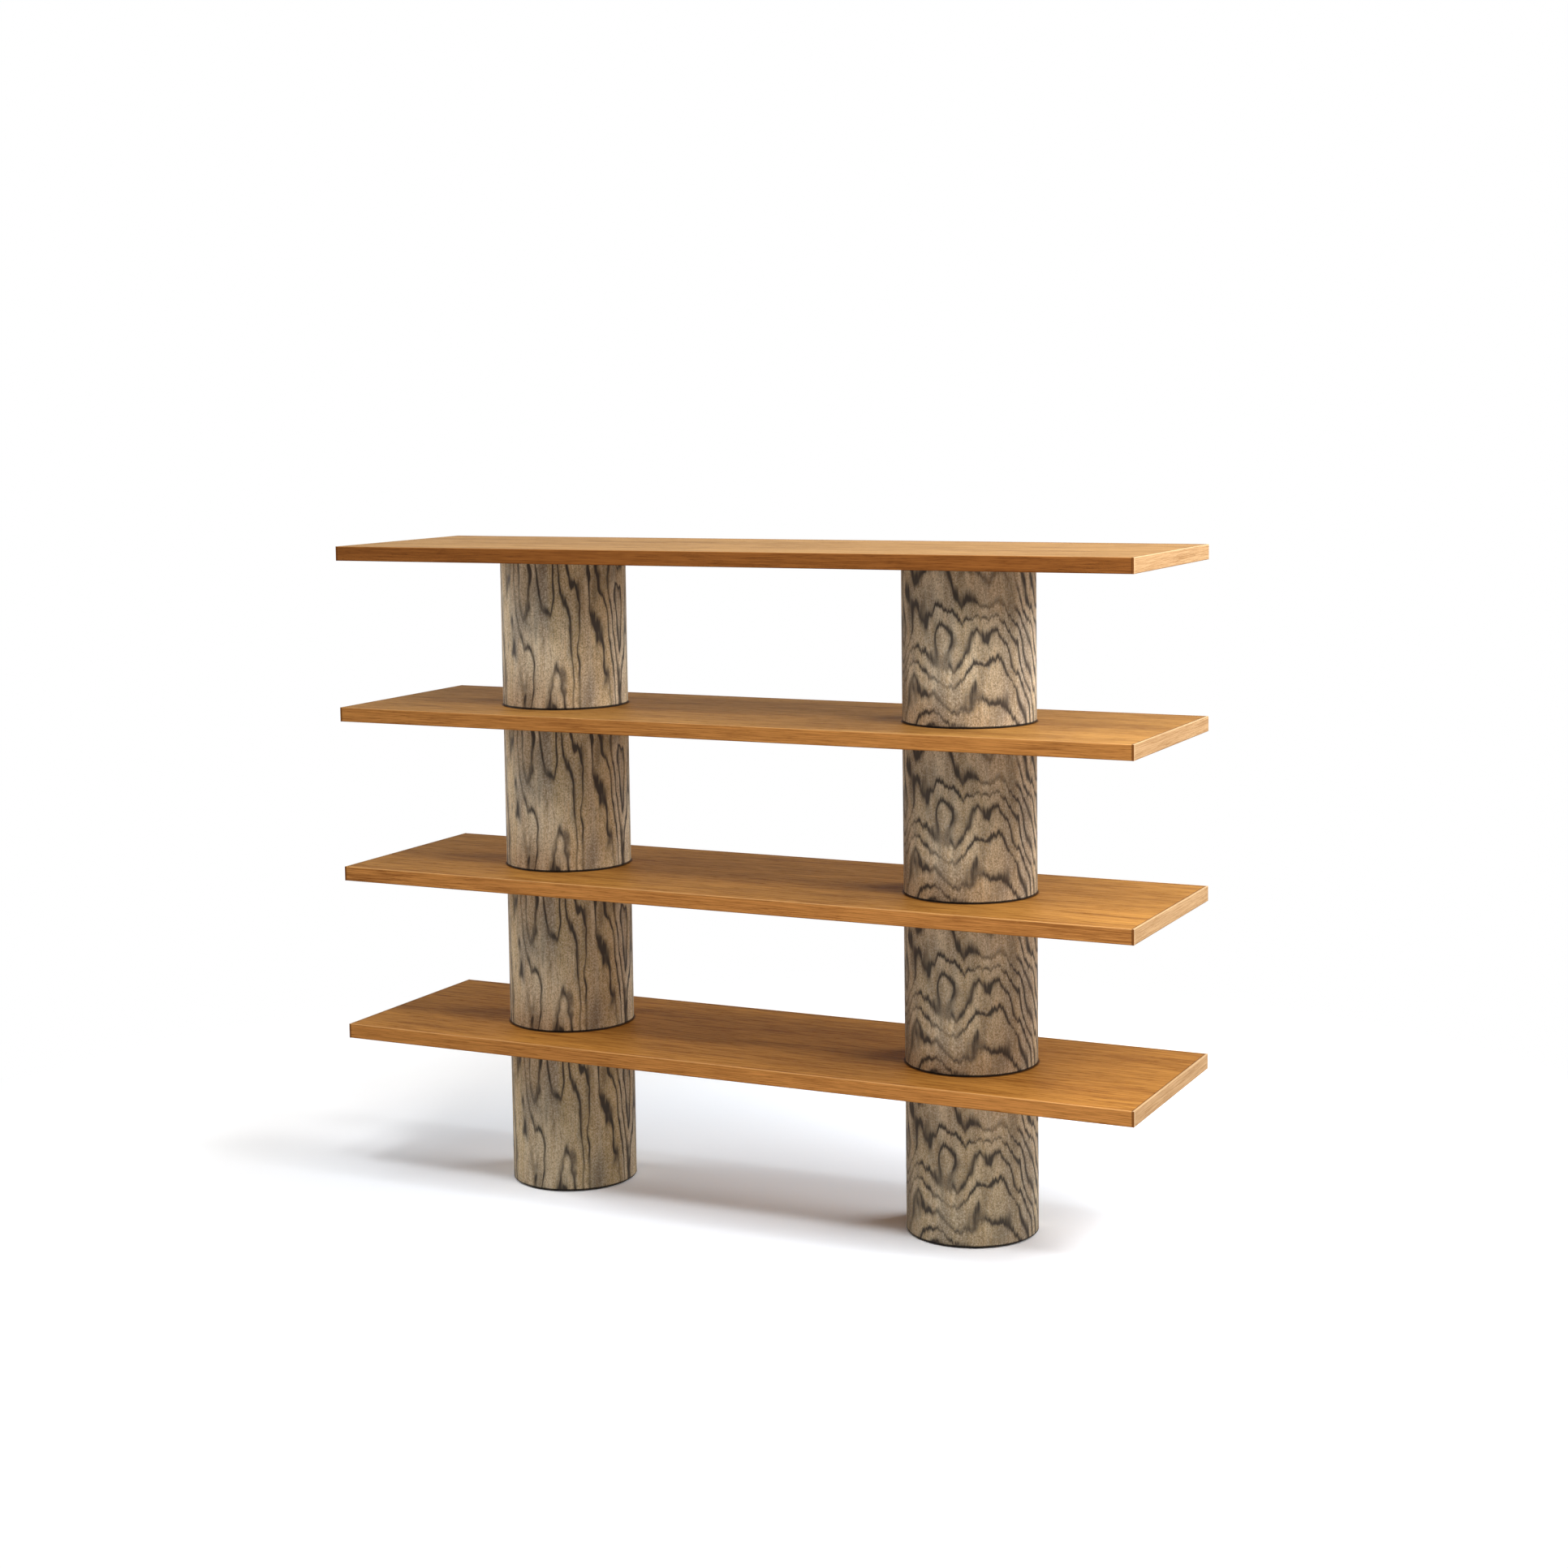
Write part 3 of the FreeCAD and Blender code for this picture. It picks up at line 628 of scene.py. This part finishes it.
def dark_lines(wood, sheet, surface, fibre, speck, thickness, darkness, smokiness):
    """How dark a line is at each point of the sheet."""
    phase = wood.math("SUBTRACT", wood.math("FRACT", surface), 0.5)
    off_line = wood.math("MULTIPLY", wood.math("ABSOLUTE", phase), 2.0)
    width = wood.noise(wood.stretch(sheet, 22.0, 9.0, 5.0), detail=1.0)
    off_line = wood.math("SUBTRACT", off_line, wood.fade(width, 0.3, 0.7, -0.10, 0.14))
    bled = wood.math("MULTIPLY_ADD", wood.math("ADD", speck, fibre), BLEED, off_line)
    off_line = wood.math("SUBTRACT", bled, BLEED)

    core = wood.fade(off_line, 0.0, thickness, 1.0, 0.0)
    smoke = wood.math("MULTIPLY", wood.fade(phase, 0.0, 0.46, 1.0, 0.0),
                      wood.fade(phase, -0.14, 0.0))
    dark = wood.math("MULTIPLY_ADD", smoke, smokiness, wood.math("MULTIPLY", core, darkness))
    weak = wood.noise(wood.stretch(sheet, 17.0, 7.0, 13.0))
    return wood.math("MULTIPLY", dark, wood.fade(weak, 0.32, 0.58, 0.55, 1.0))


# %% [markdown]
# ## Figured veneer: the pale ground
# Between the lines the wood is pale brown. Grey clouds and long golden bands lie over it, then
# the darker fibres, and last dark and light specks.

# %% Mix the ground
def pale_ground(wood, sheet, fibre, strand, speck, golden):
    cloud = wood.noise(wood.stretch(sheet, 19.0, 8.0, 21.0), detail=2.0)
    gold = wood.noise(wood.stretch(sheet, 24.0, 2.6, 31.0), detail=2.0)
    layers = (
        (wood.fade(cloud, 0.44, 0.66, 0.0, 0.6), paint(156, 145, 129)),
        (wood.fade(gold, 0.42, 0.62, 0.0, golden), paint(219, 190, 136)),
        (wood.fade(fibre, 0.42, 0.7, 0.0, 0.4), paint(132, 115, 93)),
        (wood.fade(speck, 0.52, 0.64, 0.0, 0.62), paint(116, 99, 79)),
        (wood.fade(speck, 0.36, 0.48, 0.55, 0.0), paint(246, 234, 212)),
    )
    ground = wood.mix(wood.fade(strand, 0.32, 0.68), paint(226, 207, 174), paint(202, 177, 141))
    for amount, colour in layers:
        ground = wood.mix(amount, ground, colour)
    return ground


# %% [markdown]
# ## Figured veneer: the whole recipe
# The fibres stand upright and every one is soaked to a different height, so a line that crosses
# them has a frayed edge and a line that follows them is sharp. The recipe gets this by moving each
# fibre a little up or down before it looks at the surface.
#
# Lines, blotches and ground are then laid over each other, and each drum gets its painted light,
# darker lower down the column. The lowest two millimetres of the sheet are painted dark: a painted
# shadow line at the foot of every drum.

# %% Finish the columns' veneer
FIBRE_SLIP = 14 * MM
STRAND_SLIP = 24 * MM
DULL = 0.15
FIBRE_DEPTH = 0.06 * MM


def figured_veneer(name, column_x, surface_of, shift, jagged, thickness,
                   darkness, smokiness, blotches, golden):
    wood = Finish(name)
    turn, round_way, rise = sheet_place(wood, column_x, shift)
    sheet = wood.vector(round_way, rise, column_x)
    fibre = wood.noise(wood.stretch(sheet, 520.0, 34.0, 9.0), detail=2.0, rough=0.6)
    strand = wood.noise(wood.stretch(sheet, 110.0, 9.0, 9.0), detail=2.0)
    speck = wood.noise(wood.stretch(sheet, 460.0, 340.0, 9.0), detail=3.0, rough=0.75)

    frayed = wood.math("MULTIPLY_ADD", fibre, FIBRE_SLIP, rise)
    frayed = wood.math("MULTIPLY_ADD", strand, STRAND_SLIP, frayed)
    moved = wood.vector(round_way, frayed, column_x)
    ragged = wood.noise(wood.stretch(moved, 46.0, 15.0, 9.0), detail=2.0)
    surface = surface_of(wood, turn, round_way, frayed)
    surface = wood.math("MULTIPLY_ADD", ragged, jagged, surface)

    dark = dark_lines(wood, sheet, surface, fibre, speck, thickness, darkness, smokiness)
    blotch = wood.noise(wood.stretch(moved, 30.0, 7.0, 9.0), detail=1.5)
    dark = wood.math("MAXIMUM", dark, wood.fade(blotch, 0.52, 0.70, 0.0, blotches))
    dark = wood.math("MULTIPLY", dark, wood.fade(strand, 0.35, 0.65, 1.0, 0.72))

    ground = pale_ground(wood, sheet, fibre, strand, speck, golden)
    colour = wood.mix(dark, ground, paint(77, 69, 61))
    # painted light, brighter on the higher drums
    colour = wood.mix(1.0, colour, painted_drum_light(wood), "MULTIPLY")
    # painted shadow line along the lowest two millimetres of every drum
    foot_shadow_line = wood.fade(rise, 1.4 * MM, 2.8 * MM, 0.92, 0.0)
    colour = wood.mix(foot_shadow_line, colour, paint(28, 22, 18))
    wood.surface(colour, wood.fade(strand, 0.3, 0.7, 0.6, 0.72), fibre, FIBRE_DEPTH)
    wood.shader.inputs["Specular IOR Level"].default_value = DULL
    return wood.material


veneer = {
    "left": figured_veneer(
        "figured_veneer_left", -COLUMN_OFFSET, streaks, shift=0.07, jagged=1.3, thickness=0.50,
        darkness=0.76, smokiness=0.60, blotches=0.5, golden=0.6),
    "right": figured_veneer(
        "figured_veneer_right", COLUMN_OFFSET, arches, shift=0.0, jagged=0.7, thickness=0.58,
        darkness=0.90, smokiness=0.45, blotches=0.45, golden=0.3),
}
print("column veneers:", [material.name for material in veneer.values()])

# %% [markdown]
# ## Veneer sleeves
# A sleeve is one thin sheet rolled round its drum, with its two edges butted at the back. The
# construction model has it as a plain tube. A fresh sleeve, with more sides, keeps its outline
# smooth close up, and gets what a real one has: a fine groove where the edges meet, and edges
# that are eased top and bottom.
#
# Edges and points are picked in code by their place, with one small helper.

# %% A helper that selects by place
def choose(piece, kind, wanted):
    """In edit mode, selects just the vertices or edges that pass a test, and counts them."""
    bpy.ops.object.mode_set(mode="EDIT")
    bpy.ops.mesh.select_mode(type=kind)
    bpy.ops.mesh.select_all(action="DESELECT")
    bpy.ops.object.mode_set(mode="OBJECT")
    items = {"VERT": piece.data.vertices, "EDGE": piece.data.edges}[kind]
    count = 0
    for item in items:
        item.select = wanted(item)
        count += item.select
    bpy.ops.object.mode_set(mode="EDIT")
    return count


# %% [markdown]
# The lowest sleeve of the right column is modelled first, in its place. It starts as an open
# cylinder. The groove is made by bevelling the one upright edge at the back into a narrow strip
# and pressing the middle of that strip in.

# %% Model the cylinder and its seam
SLEEVE_SIDES = 180
SEAM_WIDTH = 0.5 * MM
SEAM_DEPTH = 0.3 * MM
TINY = 0.01 * MM

bpy.ops.object.select_all(action="DESELECT")
bpy.ops.mesh.primitive_cylinder_add(
    vertices=SLEEVE_SIDES, radius=COLUMN_RADIUS, depth=wrap_size.z,
    end_fill_type="NOTHING", location=wrap_centre)
sleeve = bpy.context.object
bpy.ops.object.transform_apply(location=True, rotation=False, scale=False)
back = Vector((wrap_centre.x, COLUMN_RADIUS))


def at_back(point):
    return (point.xy - back).length < SEAM_WIDTH


def is_back_edge(edge):
    return all(at_back(sleeve.data.vertices[v].co) for v in edge.vertices)


def is_in_groove(vertex):
    return at_back(vertex.co) and abs(vertex.co.x - back.x) < TINY


print("upright edges at the back:", choose(sleeve, "EDGE", is_back_edge))
bpy.ops.mesh.bevel(offset=SEAM_WIDTH, segments=2, affect="EDGES")
bpy.ops.object.mode_set(mode="OBJECT")
print("points in the groove:", choose(sleeve, "VERT", is_in_groove))
bpy.ops.transform.translate(value=(0, -SEAM_DEPTH, 0))
bpy.ops.object.mode_set(mode="OBJECT")

# %% [markdown]
# Solidify gives the sleeve the thickness of the sheet, inwards, so that the outside keeps its
# diameter. Then both outer rims are bevelled a little, and the whole is shaded smooth except
# across its sharp edges.

# %% Give it a wall and ease its rims
EASED_EDGE = 0.2 * MM
SHARP_FROM = math.radians(35)

bpy.ops.object.select_all(action="DESELECT")
sleeve.select_set(True)
bpy.context.view_layer.objects.active = sleeve
wall = sleeve.modifiers.new("wall", "SOLIDIFY")
wall.thickness = SHEET
wall.offset = -1
bpy.ops.object.modifier_apply(modifier=wall.name)


def is_outer_rim(edge):
    """Edges of the outer circle, at the top and at the foot of the sleeve."""
    ends = [sleeve.data.vertices[v].co for v in edge.vertices]
    is_level = abs(ends[0].z - ends[1].z) < TINY
    middle_of_wall = COLUMN_RADIUS - SHEET / 2
    is_outside = all((end.xy - wrap_centre.xy).length > middle_of_wall for end in ends)
    return is_level and is_outside


print("rim edges:", choose(sleeve, "EDGE", is_outer_rim))
bpy.ops.mesh.bevel(offset=EASED_EDGE, segments=2, affect="EDGES")
bpy.ops.object.mode_set(mode="OBJECT")
bpy.ops.object.shade_smooth_by_angle(angle=SHARP_FROM)

# %% [markdown]
# All eight sleeves are copies of this one, each with a mesh of its own that is moved to its drum.
# Each takes the place of the plain tube of the construction model.

# %% Copy it to every drum
for side in SIDES:
    for level in LEVELS:
        node_name = f"{side}_wrap_{level}"
        centre = middle_and_size(node_name)[0]
        piece = bpy.data.objects.new(f"{side}_veneer_sleeve_{level}", sleeve.data.copy())
        bpy.context.scene.collection.objects.link(piece)
        piece.data.transform(Matrix.Translation(centre - wrap_centre))
        piece.data.materials.append(veneer[side])
        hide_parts(node_name)
        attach(piece, "root")
print("one sleeve has", len(sleeve.data.polygons), "faces")
bpy.data.objects.remove(sleeve)

# %% [markdown]
# ## Plywood drums
# Under the veneer each drum is thin birch sheets bent round a former and glued. The drums are
# hidden once the bookcase stands. Their grain stands upright, like that of the veneer, so the
# noise is close-packed sideways and drawn out upwards.

# %% Bent plywood
plywood = Finish("bent_plywood")
birch = plywood.noise(plywood.stretch(plywood.place, 500.0, 500.0, 14.0), detail=3.0)
birch_colour = plywood.mix(birch, paint(226, 198, 158), paint(184, 150, 108))
plywood.surface(birch_colour, plywood.fade(birch, 0.3, 0.7, 0.6, 0.75), birch, 0.1 * MM)
print("made", plywood.material.name)

# %% [markdown]
# ## Black end discs, board, felt and hardware
# Each drum is closed by two discs of board, stained black, so that the narrow lip between drum and
# shelf reads as a shadow line. Board, dowels, rods and nuts are hidden once the bookcase stands,
# but they still get honest finishes, because a part can be looked at in pieces.

# %% A recipe for plain stuffs
def speckled(name, light, dark, grain, rough, metallic=0.0, relief=0.1 * MM):
    """A plain stuff whose tone varies in small grains; grain is how many to a metre, each way."""
    stuff = Finish(name)
    fine = stuff.noise(stuff.stretch(stuff.place, *grain), detail=3.0, rough=0.6)
    wide = stuff.noise(stuff.stretch(stuff.place, 25.0, 25.0, 25.0), detail=2.0)
    tone = stuff.math("MULTIPLY_ADD", wide, 0.4, stuff.math("MULTIPLY", fine, 0.6))
    roughness = stuff.fade(fine, 0.3, 0.7, rough - 0.06, rough + 0.08)
    stuff.surface(stuff.mix(tone, light, dark), roughness, fine, relief)
    stuff.shader.inputs["Metallic"].default_value = metallic
    return stuff.material


# %% Finish the hidden pieces
black_stain = speckled(
    "black_stain", paint(44, 40, 37), paint(18, 16, 15), (300.0, 300.0, 300.0), rough=0.7)
board = speckled(
    "board", paint(190, 160, 120), paint(140, 110, 76), (600.0, 600.0, 600.0), rough=0.8)
beech = speckled(
    "beech", paint(226, 186, 140), paint(190, 146, 102), (500.0, 500.0, 20.0), rough=0.6)
felt = speckled(
    "felt", paint(40, 38, 37), paint(14, 13, 13), (900.0, 900.0, 900.0), rough=0.95,
    relief=0.4 * MM)
zinc = speckled(
    "zinc_steel", paint(205, 207, 210), paint(160, 163, 168), (200.0, 200.0, 40.0), rough=0.32,
    metallic=1.0, relief=0.02 * MM)
brass = speckled(
    "brass", paint(214, 182, 112), paint(176, 140, 76), (60.0, 60.0, 900.0), rough=0.3,
    metallic=1.0, relief=0.03 * MM)

for level in LEVELS:
    apply_finish(board, f"shelf_{level}_core")
    for side in SIDES:
        apply_finish(plywood.material, f"{side}_drum_{level}")
        apply_finish(black_stain, f"{side}_discs_{level}")
apply_finish(beech, "through_dowels", "top_dowels")
apply_finish(felt, "foot_pads")
apply_finish(zinc, "left_tie_rod", "right_tie_rod", "tie_rod_nuts", "tie_rod_washers")
apply_finish(brass, "top_shelf_inserts")
print("materials in all:", len(bpy.data.materials))
